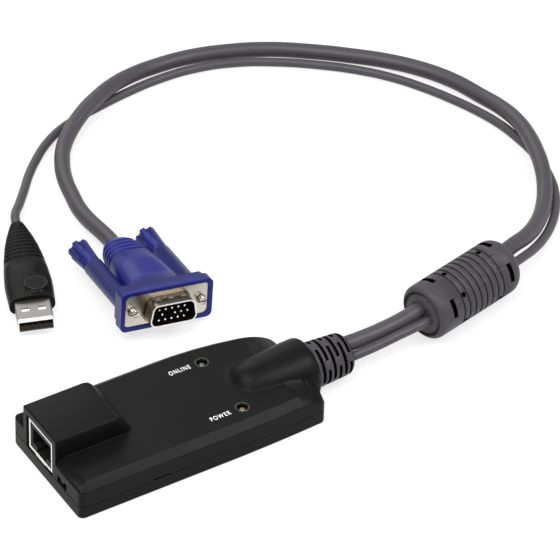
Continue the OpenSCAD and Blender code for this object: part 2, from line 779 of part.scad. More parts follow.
// Route of the video cord: the points between its straight ends and the ferrite, in mm
vga_route = concat(
    [for (x = [cords_from, boss_x, relief_end]) [x, cord_y + vga_in[0], cord_z + vga_in[1]]],
    [[70.5, 0.2, 8.5], [78.5, 0.3, 8.7], [86.5, 0.5, 9.5]],
    [for (x = [-ferrite_out, 0, ferrite_out]) ferrite_point([x, vga_through[0], vga_through[1]])],
    [[139.6, 13.9, 10.2], [148.1, 17.7, 8.4], [157.1, 24.2, 5.9], [165.3, 32.2, 4.5], [171.6, 40.6, 4.7],
     [175.9, 48.8, 6.1], [179, 57, 6.6], [181.6, 65.6, 6.4], [183.7, 75.3, 5.4], [184.3, 85.5, 4],
     [182.6, 97, 2.8], [179.1, 108.8, 2.8], [173.3, 119.9, 2.8], [165.1, 130.4, 2.8], [155.3, 139.8, 2.8],
     [144.2, 149, 2.8], [132.1, 157.4, 2.8], [118.5, 163.8, 2.8], [104, 168, 2.8], [90.8, 169, 3],
     [79.8, 167.3, 4.1], [70.3, 163.6, 5.7], [61.1, 159, 6.5], [53.1, 154.9, 5.7], [45.8, 150.2, 4],
     [39.8, 144.5, 2.9], [35.2, 137.4, 2.8], [31.6, 129.3, 2.8], [29.2, 120.1, 2.8], [27.3, 110.2, 3]],
    [for (y = [hood_l + cord_straight, hood_l, hood_l - cord_depth]) vga_point([0, y, 0])]);

// Route of the data cord
usb_route = concat(
    [for (x = [cords_from, boss_x, relief_end]) [x, cord_y + usb_in[0], cord_z + usb_in[1]]],
    [[72.6, -4.3, 7.2], [82.6, -4.2, 8.2]],
    [for (x = [-ferrite_out, 0, ferrite_out]) ferrite_point([x, usb_through[0], usb_through[1]])],
    [[141.1, 9.4, 7.8], [149.1, 13.6, 5.6], [156.6, 18.6, 3.8], [163.6, 24.5, 2.4], [169.6, 30.9, 1.7],
     [174.6, 38.1, 1.6], [178.2, 46.2, 1.6], [180.3, 54.7, 1.6], [181.3, 63, 1.6], [181.2, 71.7, 1.6],
     [180.2, 81, 1.6], [177.5, 91.2, 1.6], [173.6, 101.4, 1.6], [168.8, 111.5, 1.6], [162.4, 122.2, 1.6],
     [153.8, 132.5, 1.6], [143, 142.3, 1.6], [131.1, 151, 1.6], [118.2, 158, 1.6], [103.8, 162.3, 1.6],
     [89, 163.3, 1.6], [75.1, 162.1, 1.6], [63.4, 160.1, 1.6], [53.2, 157.9, 1.6], [45.1, 155.4, 1.6],
     [36.3, 150.6, 1.6], [29.3, 144.9, 1.6], [22.6, 138.4, 1.6], [16.9, 131.6, 1.8], [11.5, 125, 2.8]],
    [for (y = [boot_l + cord_straight, boot_l, boot_l - cord_depth]) usb_point([0, y, 0])]);

vga_sides = 10;
usb_sides = 8;
function unit(v) = v / norm(v);
function tangent(route, i) = unit(route[min(i + 1, len(route) - 1)] - route[max(i - 1, 0)]);
function cord_ring(p, t, r, sides) =
    let (side = unit(cross([0, 0, 1], t)), up = cross(t, side))
    [for (k = [0:sides - 1]) p + r * (cos((k + 0.5) * 360 / sides) * side + sin((k + 0.5) * 360 / sides) * up)];
module tube(route, r, sides) {
    skin([for (i = [0:len(route) - 1]) cord_ring(route[i], tangent(route, i), r, sides)]);
}
module vga_cord() {
    color([0.28, 0.27, 0.29]) tube(vga_route, vga_r, vga_sides);
}
module usb_cord() {
    color([0.28, 0.27, 0.29]) tube(usb_route, usb_r, usb_sides);
}

// A rounded section, as points in the plane of the plug's width and height at a distance along it
oval_points = 28;
oval_power = 2.8;
function part_sign(v) = v < 0 ? -1 : 1;
function oval_part(v, p) = part_sign(v) * pow(abs(v), 2 / p);
function oval(w, h, at, p) = [for (k = [0:oval_points - 1])
    [w / 2 * oval_part(cos(k * 360 / oval_points), p), h / 2 * oval_part(sin(k * 360 / oval_points), p), at]];
module loft_y(rings) {
    rotate([-90, 0, 0]) skin(rings);
}

plate_t = 0.5;
rim_out = 0.5;
lip_over = 0.25;
rim_corner = 1.8;
flange_corner = 2;
step_in = 0.8;
step_t = 2.8;
sleeve_r = 3.4;
sleeve_l = 30.8;
ring_count = 4;
ring_gap = 2.4;
ring_cut = 0.7;
ring_tail = 3;
pocket_r = 2.7;
clip_t = 0.8;
clip_r = 2.3;
pocket_l = screw_float + clip_t + 2 * run_gap + plate_t;
groove_r = 1.1;
bore_gap = 0.08;
plate_gap = 0.35;

// Width and height of the plug's body along its length
hood_width_shares = [[0, 1], [0.3, 0.95], [0.5, 0.86], [0.7, 0.77], [0.87, 0.66], [0.95, 0.57], [1, 0.42]];
hood_height_shares = [[0, 1], [0.3, 1], [0.5, 0.98], [0.7, 0.93], [0.87, 0.83], [0.95, 0.72], [1, 0.55]];
function hood_ring(y, cut) = oval(hood_w * lookup(y / hood_l, hood_width_shares) - 2 * cut,
    hood_h * lookup(y / hood_l, hood_height_shares) - 2 * cut, y, oval_power);
// One ring groove, along the distance between two of them and in its depth
ring_shares = [[0, 0], [0.25, 1], [0.5, 0]];
ring_first = hood_l - ring_tail - ring_count * ring_gap;
hood_places = concat([[flange_t + step_t - over, 0], [0.3 * hood_l, 0], [0.5 * hood_l, 0]],
    [for (i = [0:ring_count - 1], part = ring_shares) [ring_first + (i + part[0]) * ring_gap, part[1] * ring_cut]],
    [[hood_l - ring_tail, 0], [hood_l - ring_tail / 3, 0], [hood_l, 0]]);

module screw_sides() {
    for (side = [-1, 1]) translate([side * screw_gap / 2, 0, 0]) children();
}

// Outline of the plug's shell, wide side down once it stands in its place, drawn in by t
d_wide = 16.9;
d_high = 8.36;
d_slope = 10;
d_round = 2.4;
module d_outline(t) {
    half = d_high / 2 - d_round;
    wide = d_wide / 2 - d_round;
    narrow = wide - 2 * half * tan(d_slope);
    hull() for (corner = [[-wide, -half], [wide, -half], [narrow, half], [-narrow, half]])
        translate(corner) circle(r = d_round - t, $fn = 32);
}

module vga_hood() {
    color([0.13, 0.15, 0.5]) at_vga() difference() {
        union() {
            push_y(-rim_out, flange_t) round_rect(flange_w, flange_h, flange_corner);
            push_y(flange_t - over, flange_t + step_t)
                round_rect(flange_w - 2 * step_in, flange_h - 2 * step_in, flange_corner);
            loft_y([for (place = hood_places) hood_ring(place[0], place[1])]);
            screw_sides() bar_y(sleeve_r, flange_t, sleeve_l);
        }
        push_y(-rim_out - over, over - fit_gap)
            round_rect(plate_w - 2 * lip_over, plate_h - 2 * lip_over, rim_corner);
        push_y(-fit_gap, plate_t + fit_gap)
            square([plate_w + 2 * fit_gap, plate_h + 2 * fit_gap], center = true);
        push_y(0, insulator_back + fit_gap) square([d_wide + plate_t, d_high + plate_t], center = true);
        screw_sides() {
            bar_y(screw_r + bore_gap, 0, sleeve_l + over);
            bar_y(pocket_r, 0, plate_t + fit_gap + pocket_l);
        }
        bar_y(vga_r + fit_gap, hood_l - cord_depth - fit_gap, hood_l + over);
    }
}

shell_out = 6;
shell_wall = 0.5;
shell_foot = 0.8;
insulator_back = 5.6;
insulator_face = -0.8;
module vga_shell() {
    color([0.68, 0.66, 0.6]) at_vga() difference() {
        union() {
            push_y(0, plate_t) square([plate_w, plate_h], center = true);
            push_y(-shell_out, plate_t) d_outline(0);
            push_y(-shell_foot, plate_t) d_outline(-shell_wall);
        }
        push_y(-shell_out - over, plate_t + over) d_outline(shell_wall);
        screw_sides() bar_y(screw_r + plate_gap, -over, plate_t + over);
    }
}
module vga_insulator() {
    color([0.06, 0.06, 0.06]) at_vga() {
        push_y(insulator_face, plate_t + fit_gap) d_outline(shell_wall + fit_gap);
        push_y(plate_t + fit_gap, insulator_back) square([d_wide, d_high], center = true);
    }
}

pin_r = 0.5;
pin_out = 5.5;
pin_tip = 0.5;
pins_a_row = 5;
// Rows of pins: distance from the middle in rows, shift along the row in pitches, place left empty
pin_rows = [[1, 0, -1], [0, 0.5, 1], [-1, 0, -1]];
module vga_pins() {
    color([0.85, 0.82, 0.7]) at_vga() for (row = pin_rows, i = [0:pins_a_row - 1]) if (i != row[2])
        translate([(i - (pins_a_row - 1) / 2 + row[1]) * pin_pitch - pin_pitch / 4, 0, row[0] * pin_row]) {
            bar_y(pin_r, pin_tip - pin_out, insulator_face);
            translate([0, pin_tip - pin_out, 0]) rotate([90, 0, 0])
                cylinder(r1 = pin_r, r2 = pin_r / 2, h = pin_tip);
        }
}

clip_y = plate_t + fit_gap + run_gap;
module screw_clip(side) {
    color([0.6, 0.6, 0.58]) at_vga() translate([side * screw_gap / 2, 0, 0]) difference() {
        bar_y(clip_r, clip_y, clip_y + clip_t);
        bar_y(groove_r + run_gap, clip_y - over, clip_y + clip_t + over);
    }
}
module left_clip() {
    screw_clip(-1);
}
module right_clip() {
    screw_clip(1);
}

tip_out = 2.2;
tip_slot_w = 0.6;
tip_slot_depth = 0.9;
knob_gap = 0.5;
knob_y = sleeve_l + knob_gap;
knob_front_r = 3;
knob_back_r = 3.9;
flute_r = 1.1;
flutes = 6;
flute_turn = 90;
module thumbscrew(side) {
    color([0.13, 0.15, 0.5]) at_vga() translate([side * screw_gap / 2, 0, 0]) difference() {
        union() {
            bar_y(screw_r, -tip_out, clip_y - run_gap);
            bar_y(groove_r, clip_y - 2 * run_gap, clip_y + clip_t + 2 * run_gap);
            bar_y(screw_r, clip_y + clip_t + run_gap, knob_y + over);
            translate([0, knob_y, 0]) rotate([-90, 0, 0])
                cylinder(r1 = knob_front_r, r2 = knob_back_r, h = knob_l);
        }
        block([-2 * screw_r, -tip_out - over, -tip_slot_w / 2],
            [2 * screw_r, tip_slot_depth - tip_out, tip_slot_w / 2]);
        for (i = [0:flutes - 1]) rotate([0, flute_turn + i * 360 / flutes, 0])
            translate([knob_back_r + flute_r / 4, knob_y + knob_l / 5, 0]) bar_y(flute_r, 0, knob_l);
    }
}
module left_thumbscrew() {
    thumbscrew(-1);
}
module right_thumbscrew() {
    thumbscrew(1);
}

// Width and height of the boot, from its front to the cord
boot_width_shares = [[0, 0.95], [0.07, 0.97], [0.225, 1], [0.39, 0.94], [0.56, 0.835], [0.7, 0.72], [0.83, 0.56],
    [0.95, 0.37], [1, 0.28]];
boot_height_shares = [[0, 0.98], [0.3, 1], [0.56, 0.95], [0.7, 0.88], [0.83, 0.76], [0.95, 0.6], [1, 0.5]];
boot_power = 2.6;
boot_cut = 0.5;
groove_gap = 2;
groove_edge = 1.6;
groove_from = boot_l - groove_edge - boot_grooves * groove_gap;
function boot_ring(y, cut) = oval(boot_w * lookup(y / boot_l, boot_width_shares) - 2 * cut,
    boot_h * lookup(y / boot_l, boot_height_shares) - 2 * cut, y, boot_power);
// One groove, along the distance between two of them and in its depth
groove_shares = [[0, 0], [0.3, 1], [0.6, 0]];
boot_steps = 6;
boot_places = concat([for (i = [0:boot_steps - 1]) [groove_from * i / boot_steps, 0]],
    [for (i = [0:boot_grooves - 1], part = groove_shares) [groove_from + (i + part[0]) * groove_gap, part[1] * boot_cut]],
    [[boot_l, 0]]);
thumb_w = 7.2;
thumb_l = 6.6;
thumb_x = 2.2;
thumb_y = 6.2;
thumb_t = 0.25;
usb_in_boot = 5;
module usb_boot() {
    color([0.07, 0.07, 0.07]) at_usb() difference() {
        union() {
            loft_y([for (place = boot_places) boot_ring(place[0], place[1])]);
            translate([thumb_x, thumb_y, 0]) scale([thumb_w / thumb_l, 1, 1])
                cylinder(r = thumb_l / 2, h = boot_h / 2 + thumb_t);
        }
        push_y(-over, usb_in_boot + fit_gap) square([usb_w + 2 * fit_gap, usb_h + 2 * fit_gap], center = true);
        bar_y(usb_r + fit_gap, boot_l - cord_depth - fit_gap, boot_l + over);
    }
}

usb_wall = 0.3;
usb_corner = 0.5;
window_w = 2.6;
window_d = 1.8;
window_gap = 5.6;
window_y = 5.4;
module usb_shell() {
    color([0.75, 0.73, 0.7]) at_usb() difference() {
        push_y(-usb_l, usb_in_boot) round_rect(usb_w, usb_h, usb_corner);
        push_y(-usb_l - over, usb_in_boot + over)
            round_rect(usb_w - 2 * usb_wall, usb_h - 2 * usb_wall, usb_corner - usb_wall);
        for (side = [-1, 1]) block([side * window_gap / 2 - window_w / 2, -window_y, -usb_h],
            [side * window_gap / 2 + window_w / 2, window_d - window_y, usb_h]);
    }
}
tongue_h = 1.9;
module usb_tongue() {
    low = usb_wall + fit_gap - usb_h / 2;
    side = usb_w / 2 - usb_wall - fit_gap;
    color([0.12, 0.1, 0.09]) at_usb() {
        block([-side, over - usb_l, low], [side, usb_in_boot, low + tongue_h]);
        block([-side, -over, low], [side, usb_in_boot, usb_h / 2 - usb_wall - fit_gap]);
    }
}
contact_l = 7;
strip_from = 0.8;
strip_w = 1;
strip_t = 0.2;
strip_at = [-3.5, -1, 1, 3.5];
module usb_contacts() {
    low = usb_wall + fit_gap - usb_h / 2 + tongue_h;
    color([0.85, 0.7, 0.35]) at_usb() for (x = strip_at)
        block([x - strip_w / 2, strip_from - usb_l, low], [x + strip_w / 2, strip_from - usb_l + contact_l, low + strip_t]);
}

top_cover();
bottom_cover();
circuit_board();
board_chips();
jack_shield();
jack_insert();
jack_contacts();
online_led();
power_led();
led_spacers();
switch_case();
switch_slider();
cord_header();
core_wires();
cord_ties();
case_screws();
strain_relief();
ferrite_sleeve();
ferrite_core();
vga_cord();
usb_cord();
vga_hood();
vga_shell();
vga_insulator();
vga_pins();
left_clip();
right_clip();
left_thumbscrew();
right_thumbscrew();
usb_boot();
usb_shell();
usb_tongue();
usb_contacts();
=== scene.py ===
import math

import bmesh
import bpy
from mathutils import Matrix, Vector


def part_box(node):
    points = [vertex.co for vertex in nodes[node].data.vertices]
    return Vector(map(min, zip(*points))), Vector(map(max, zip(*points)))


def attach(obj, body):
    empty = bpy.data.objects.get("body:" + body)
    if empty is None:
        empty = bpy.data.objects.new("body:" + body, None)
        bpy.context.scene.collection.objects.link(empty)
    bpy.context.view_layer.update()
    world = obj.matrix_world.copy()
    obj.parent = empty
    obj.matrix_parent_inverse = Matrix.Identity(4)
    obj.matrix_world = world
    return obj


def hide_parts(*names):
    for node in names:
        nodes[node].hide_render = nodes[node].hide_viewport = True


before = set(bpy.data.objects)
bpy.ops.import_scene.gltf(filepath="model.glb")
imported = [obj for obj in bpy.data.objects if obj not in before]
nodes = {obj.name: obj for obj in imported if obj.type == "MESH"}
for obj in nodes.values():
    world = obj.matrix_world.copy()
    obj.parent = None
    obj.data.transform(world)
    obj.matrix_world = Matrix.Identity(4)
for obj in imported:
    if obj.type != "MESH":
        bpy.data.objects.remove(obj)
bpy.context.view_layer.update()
scene = bpy.context.scene

# Camera: a long lens that looks down on the adapter from over its socket end.
# The view is the photograph's own, with its slight tilt of the horizon.
view_turn = math.radians(-32.7725)
view_rise = math.radians(39.6189)
view_roll = math.radians(1.8059)
view_target = Vector((0.068987, 0.048036, 0.0))
view_distance = 1.5
level_right = Vector((math.cos(view_turn), math.sin(view_turn), 0.0))
view_back = Vector((math.sin(view_turn) * math.cos(view_rise), -math.cos(view_turn) * math.cos(view_rise),
                    math.sin(view_rise)))
level_up = view_back.cross(level_right)
view_right = level_right * math.cos(view_roll) + level_up * math.sin(view_roll)
view_up = level_up * math.cos(view_roll) - level_right * math.sin(view_roll)
bpy.ops.object.camera_add(location=(0.0, 0.0, 0.0))
camera = bpy.context.object
camera.data.sensor_width = 36.0
camera.data.lens = 285.86
camera.matrix_world = (Matrix.Translation(view_target + view_back * view_distance)
                       @ Matrix((view_right, view_up, view_back)).transposed().to_4x4())
scene.camera = camera

# Cords: round soft-vinyl jackets, extruded over their cores, a thick one for the video plug and a thin
# one for the data plug. Both leave through the housing's boss, pass the ferrite and lie on the table.
vga_cord_r = 0.0028
usb_cord_r = 0.0016
ferrite_at = Vector((0.1135, 0.004, 0.0098))
ferrite_turn = 13.0
cords_turn = 1.5
vga_plug_at = Vector((0.0229, 0.0454, 0.0103))
usb_plug_at = Vector((-0.0123, 0.0734, 0.0046))


def turned(degrees, axis):
    return Matrix.Rotation(math.radians(degrees), 4, axis)


in_ferrite = Matrix.Translation(ferrite_at) @ turned(ferrite_turn + cords_turn, "Z")
in_vga_plug = Matrix.Translation(vga_plug_at) @ turned(-5.3, "Z") @ turned(-7.0, "X") @ turned(6.0, "Y")
in_usb_plug = Matrix.Translation(usb_plug_at) @ turned(-22.0, "Z") @ turned(-3.0, "Y")
vga_route = (
    [(x, 0.2, 8.7) for x in (36.1, 48.1, 63.2)]
    + [(70.5, 0.2, 8.5), (78.5, 0.3, 8.7), (86.5, 0.5, 9.5)]
    + [tuple(in_ferrite @ Vector((x, 0.0022, 0.0008)) * 1000) for x in (-0.0205, 0.0, 0.0205)]
    + [(139.6, 13.9, 10.2), (148.1, 17.7, 8.4), (157.1, 24.2, 5.9), (165.3, 32.2, 4.5), (171.6, 40.6, 4.7),
       (175.9, 48.8, 6.1), (179, 57, 6.6), (181.6, 65.6, 6.4), (183.7, 75.3, 5.4), (184.3, 85.5, 4),
       (182.6, 97, 2.8), (179.1, 108.8, 2.8), (173.3, 119.9, 2.8), (165.1, 130.4, 2.8), (155.3, 139.8, 2.8),
       (144.2, 149, 2.8), (132.1, 157.4, 2.8), (118.5, 163.8, 2.8), (104, 168, 2.8), (90.8, 169, 3),
       (79.8, 167.3, 4.1), (70.3, 163.6, 5.7), (61.1, 159, 6.5), (53.1, 154.9, 5.7), (45.8, 150.2, 4),
       (39.8, 144.5, 2.9), (35.2, 137.4, 2.8), (31.6, 129.3, 2.8), (29.2, 120.1, 2.8), (27.3, 110.2, 3)]
    + [tuple(in_vga_plug @ Vector((0.0, y, 0.0)) * 1000) for y in (0.0458, 0.0408, 0.0328)])
usb_route = (
    [(x, -4.1, 6.6) for x in (36.1, 48.1, 63.2)]
    + [(72.6, -4.3, 7.2), (82.6, -4.2, 8.2)]
    + [tuple(in_ferrite @ Vector((x, -0.0026, -0.0008)) * 1000) for x in (-0.0205, 0.0, 0.0205)]
    + [(141.1, 9.4, 7.8), (149.1, 13.6, 5.6), (156.6, 18.6, 3.8), (163.6, 24.5, 2.4), (169.6, 30.9, 1.7),
       (174.6, 38.1, 1.6), (178.2, 46.2, 1.6), (180.3, 54.7, 1.6), (181.3, 63, 1.6), (181.2, 71.7, 1.6),
       (180.2, 81, 1.6), (177.5, 91.2, 1.6), (173.6, 101.4, 1.6), (168.8, 111.5, 1.6), (162.4, 122.2, 1.6),
       (153.8, 132.5, 1.6), (143, 142.3, 1.6), (131.1, 151, 1.6), (118.2, 158, 1.6), (103.8, 162.3, 1.6),
       (89, 163.3, 1.6), (75.1, 162.1, 1.6), (63.4, 160.1, 1.6), (53.2, 157.9, 1.6), (45.1, 155.4, 1.6),
       (36.3, 150.6, 1.6), (29.3, 144.9, 1.6), (22.6, 138.4, 1.6), (16.9, 131.6, 1.8), (11.5, 125, 2.8)]
    + [tuple(in_usb_plug @ Vector((0.0, y, 0.0)) * 1000) for y in (0.0472, 0.0422, 0.0342)])


def nodes_of(material):
    material.use_nodes = True
    tree = material.node_tree
    return tree, tree.nodes["Principled BSDF"]


def moulded(name, colour, roughness, grain=0.0004, relief=0.1, spread=0.25, shine=0.3, edge=0.0):
    """Moulded plastic: fine tool grain, colour that drifts a little and a sheen that varies."""
    sheen_swing = 0.06
    material = bpy.data.materials.new(name)
    tree, shader = nodes_of(material)
    link = tree.links.new
    place = tree.nodes.new("ShaderNodeTexCoord")
    drift = tree.nodes.new("ShaderNodeTexNoise")
    drift.inputs["Scale"].default_value = 90.0
    drift.inputs["Detail"].default_value = 3.0
    link(place.outputs["Object"], drift.inputs["Vector"])
    tint = tree.nodes.new("ShaderNodeMix")
    tint.data_type = "RGBA"
    tint.inputs[6].default_value = [c * (1 - spread) for c in colour] + [1.0]
    tint.inputs[7].default_value = [min(1.0, c * (1 + spread)) for c in colour] + [1.0]
    link(drift.outputs["Fac"], tint.inputs[0])
    link(tint.outputs[2], shader.inputs["Base Color"])
    sheen = tree.nodes.new("ShaderNodeMapRange")
    sheen.inputs["To Min"].default_value = roughness - sheen_swing
    sheen.inputs["To Max"].default_value = roughness + sheen_swing
    link(drift.outputs["Fac"], sheen.inputs["Value"])
    link(sheen.outputs["Result"], shader.inputs["Roughness"])
    fine = tree.nodes.new("ShaderNodeTexNoise")
    fine.inputs["Scale"].default_value = 1.0 / grain
    fine.inputs["Detail"].default_value = 2.0
    link(place.outputs["Object"], fine.inputs["Vector"])
    bump = tree.nodes.new("ShaderNodeBump")
    bump.inputs["Strength"].default_value = relief
    bump.inputs["Distance"].default_value = grain * 0.4
    link(fine.outputs["Fac"], bump.inputs["Height"])
    if edge:
        rounding = tree.nodes.new("ShaderNodeBevel")
        rounding.samples = 6
        rounding.inputs["Radius"].default_value = edge
        link(rounding.outputs["Normal"], bump.inputs["Normal"])
    link(bump.outputs["Normal"], shader.inputs["Normal"])
    shader.inputs["Specular IOR Level"].default_value = shine
    return material


def lay_cord(name, route, radius, material):
    """A smooth round tube through the points of its route, which are in millimetres."""
    line = bpy.data.curves.new(name, "CURVE")
    line.dimensions = "3D"
    line.bevel_depth = radius
    line.bevel_resolution = 5
    line.resolution_u = 8
    line.use_fill_caps = True
    spline = line.splines.new("BEZIER")
    spline.bezier_points.add(len(route) - 1)
    for knot, point in zip(spline.bezier_points, route):
        knot.co = Vector(point) / 1000
        knot.handle_left_type = knot.handle_right_type = "AUTO"
    piece = bpy.data.objects.new(name, line)
    scene.collection.objects.link(piece)
    line.materials.append(material)
    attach(piece, "adapter")
    return piece


jacket = moulded("cord_jacket", (0.048, 0.045, 0.051), 0.42, grain=0.0005, relief=0.12, spread=0.1)
vga_lead = lay_cord("vga_lead", vga_route, vga_cord_r, jacket)
usb_lead = lay_cord("usb_lead", usb_route, usb_cord_r, jacket)
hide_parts("vga_cord")
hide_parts("usb_cord")

# Lower cover: a shallow tray of black ABS with the boss's lower half, moulded in one shot with the
# texture of a spark-eroded tool. The board lies on its ribs and the four screws come up through it.
merge_gap = 0.000002
flat_within = math.radians(0.5)
edge_from = math.radians(14.0)


def dress(node, material):
    """Gives a kept solid its finish."""
    for place in nodes[node].material_slots:
        place.material = material


def chosen(piece):
    """Selects one piece alone and makes it the active one."""
    bpy.ops.object.select_all(action="DESELECT")
    bpy.context.view_layer.objects.active = piece
    piece.select_set(True)


def copied(node, name, body, materials):
    """A fresh mesh of a solid, its loose triangles joined, that stands for it and rides where it does."""
    piece = bpy.data.objects.new(name, nodes[node].data.copy())
    scene.collection.objects.link(piece)
    chosen(piece)
    bpy.ops.object.mode_set(mode="EDIT")
    bpy.ops.mesh.select_all(action="SELECT")
    bpy.ops.mesh.remove_doubles(threshold=merge_gap)
    bpy.ops.object.mode_set(mode="OBJECT")
    piece.data.materials.clear()
    for material in materials:
        piece.data.materials.append(material)
    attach(piece, body)
    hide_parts(node)
    return piece


def smoothed(piece, angle):
    """Round stretches shade as one, and edges sharper than the angle stay."""
    chosen(piece)
    bpy.ops.object.shade_smooth_by_angle(angle=math.radians(angle))


def edit(piece):
    """Takes one piece into edit mode with nothing selected."""
    chosen(piece)
    bpy.ops.object.mode_set(mode="EDIT")
    bpy.ops.mesh.select_mode(type="EDGE")
    bpy.ops.mesh.select_all(action="DESELECT")


def flattened(piece):
    """Joins the triangles of each flat face, so that its edges can be rounded."""
    edit(piece)
    bpy.ops.mesh.select_all(action="SELECT")
    bpy.ops.mesh.dissolve_limited(angle_limit=flat_within)
    bpy.ops.object.mode_set(mode="OBJECT")


def rounded(piece, wanted, radius, steps):
    """Rounds the edges that wanted(middle, ends, first normal, second normal) picks."""
    edit(piece)
    shape = bmesh.from_edit_mesh(piece.data)
    for edge in shape.edges:
        if len(edge.link_faces) == 2 and edge.calc_face_angle(0.0) > edge_from:
            ends = [v.co for v in edge.verts]
            first, second = (face.normal for face in edge.link_faces)
            if wanted((ends[0] + ends[1]) / 2, ends, first, second):
                edge.select_set(True)
    bmesh.update_edit_mesh(piece.data)
    bpy.ops.mesh.bevel(offset=radius, segments=steps, affect="EDGES", clamp_overlap=True)
    bpy.ops.object.mode_set(mode="OBJECT")


seam_z = 0.0048
seam_break = 0.00022
seam_near = 0.00003
level_from = 0.9
slant_from = 0.2
wall_until = 0.4
outward_by = 0.001
housing_middle = Vector((0.0, 0.0, seam_z))


def on_seam(middle, ends, first, second):
    """The outer rim of a cover, where its wall meets the flat face that the other cover stands on."""
    if max(abs(end.z - seam_z) for end in ends) > seam_near:
        return False
    wall, rim = (first, second) if abs(first.z) < abs(second.z) else (second, first)
    outward = wall.dot(middle - housing_middle)
    return abs(rim.z) > level_from and abs(wall.z) < wall_until and outward > outward_by


def seamed(cover):
    """Breaks the rim's edge and paints the break near-black, a painted shade in the joint line."""
    rounded(cover, on_seam, seam_break, 1)
    for face in cover.data.polygons:
        if abs(face.center.z - seam_z) < seam_break and slant_from < abs(face.normal.z) < level_from:
            face.material_index = 1


housing_edge_r = 0.0006
boss_tip = (0.0235, -0.0022, 0.013)
boss_blend_r = 0.0035
blend_start = 0.004
blend_stop = 0.014
covers_smooth = 17
housing_black = moulded("housing_black", (0.0045, 0.0041, 0.0042), 0.4, grain=0.0005, relief=0.1, shine=0.1,
                        edge=housing_edge_r)
tree, shader = nodes_of(housing_black)
place = tree.nodes.new("ShaderNodeTexCoord")
away = tree.nodes.new("ShaderNodeVectorMath")
away.operation = "DISTANCE"
away.inputs[1].default_value = boss_tip
tree.links.new(place.outputs["Object"], away.inputs[0])
soften = tree.nodes.new("ShaderNodeMapRange")
soften.inputs["From Min"].default_value = blend_start
soften.inputs["From Max"].default_value = blend_stop
soften.inputs["To Min"].default_value = boss_blend_r
soften.inputs["To Max"].default_value = housing_edge_r
tree.links.new(away.outputs["Value"], soften.inputs["Value"])
edge_node = next(node for node in tree.nodes if node.type == "BEVEL")
tree.links.new(soften.outputs["Result"], edge_node.inputs["Radius"])
# The joint's black is a painted shade: near-black and without sheen, in the gap between the covers.
seam_painted_shade = moulded("seam_painted_shade", (0.0008, 0.0008, 0.0008), 0.9, relief=0.0, shine=0.0)
tray = copied("bottom_cover", "lower_shell", "adapter", [housing_black, seam_painted_shade])
flattened(tray)
seamed(tray)
smoothed(tray, covers_smooth)

# Board: green glass-epoxy, with its soldered chips and capacitors, notched round the screw posts.
# It lies loose on the ribs, held down by the upper cover's lip.
board_green = moulded("board_green", (0.02, 0.12, 0.05), 0.35, spread=0.3)
chip_black = moulded("chip_black", (0.012, 0.012, 0.013), 0.45, shine=0.3)
dress("circuit_board", board_green)
dress("board_chips", chip_black)

# Network socket: a folded tin-plated shield round a black moulding with eight sprung contacts.
# It is soldered to the board and its rim stands just out of the housing's end.


def steel(name, colour, roughness, streak=0.12, along=(900.0, 5000.0, 5000.0)):
    """Plated sheet steel with faint drawing marks along one axis."""
    material = bpy.data.materials.new(name)
    tree, shader = nodes_of(material)
    link = tree.links.new
    place = tree.nodes.new("ShaderNodeTexCoord")
    stretch = tree.nodes.new("ShaderNodeMapping")
    stretch.inputs["Scale"].default_value = along
    link(place.outputs["Object"], stretch.inputs["Vector"])
    marks = tree.nodes.new("ShaderNodeTexNoise")
    marks.inputs["Detail"].default_value = 3.0
    marks.inputs["Scale"].default_value = 1.0
    link(stretch.outputs["Vector"], marks.inputs["Vector"])
    tint = tree.nodes.new("ShaderNodeMix")
    tint.data_type = "RGBA"
    tint.inputs[6].default_value = [c * (1 - streak) for c in colour] + [1.0]
    tint.inputs[7].default_value = [min(1.0, c * (1 + streak)) for c in colour] + [1.0]
    link(marks.outputs["Fac"], tint.inputs[0])
    link(tint.outputs[2], shader.inputs["Base Color"])
    rough = tree.nodes.new("ShaderNodeMapRange")
    rough.inputs["To Min"].default_value = roughness * 0.8
    rough.inputs["To Max"].default_value = roughness * 1.25
    link(marks.outputs["Fac"], rough.inputs["Value"])
    link(rough.outputs["Result"], shader.inputs["Roughness"])
    shader.inputs["Metallic"].default_value = 1.0
    return material


socket_tin = steel("socket_tin", (0.74, 0.73, 0.71), 0.2)
socket_black = moulded("socket_black", (0.01, 0.01, 0.01), 0.45, shine=0.3)
contact_gold = steel("contact_gold", (0.83, 0.62, 0.28), 0.2)
dress("jack_shield", socket_tin)
dress("jack_insert", socket_black)
dress("jack_contacts", contact_gold)
low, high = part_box("jack_shield")
rim_w = 0.0011
rim_t = 0.0003
bpy.ops.object.select_all(action="DESELECT")
bpy.ops.mesh.primitive_cube_add(size=1.0, location=(0.0, 0.0, 0.0))
rim = bpy.context.object
rim.name = "shield_rim"
rim.data.transform(Matrix.Translation((low[0] + rim_t / 2, (low[1] + high[1]) / 2, (low[2] + high[2]) / 2))
                   @ Matrix.Diagonal((rim_t, high[1] - low[1], high[2] - low[2], 1.0)))
edit(rim)
bpy.ops.mesh.select_mode(type="FACE")
shape = bmesh.from_edit_mesh(rim.data)
for face in shape.faces:
    face.select_set(abs(face.normal.x) > 0.9)
bmesh.update_edit_mesh(rim.data)
bpy.ops.mesh.inset(thickness=rim_w, use_boundary=True)
bpy.ops.mesh.bridge_edge_loops()
bpy.ops.object.mode_set(mode="OBJECT")
rim_tin = moulded("rim_tin", (0.75, 0.74, 0.71), 0.35, relief=0.0, spread=0.05, shine=0.6)
rim.data.materials.append(rim_tin)
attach(rim, "adapter")

# Lamps: two clear-bodied diodes on spacers, one green-tinted and one amber, unlit, just under the holes.
# Their leads are soldered to the board.


def lens(name, colour):
    """Tinted clear resin: smooth, with a weak clear coat."""
    material = moulded(name, colour, 0.16, relief=0.0, spread=0.15, shine=0.6)
    nodes_of(material)[1].inputs["Coat Weight"].default_value = 0.6
    return material


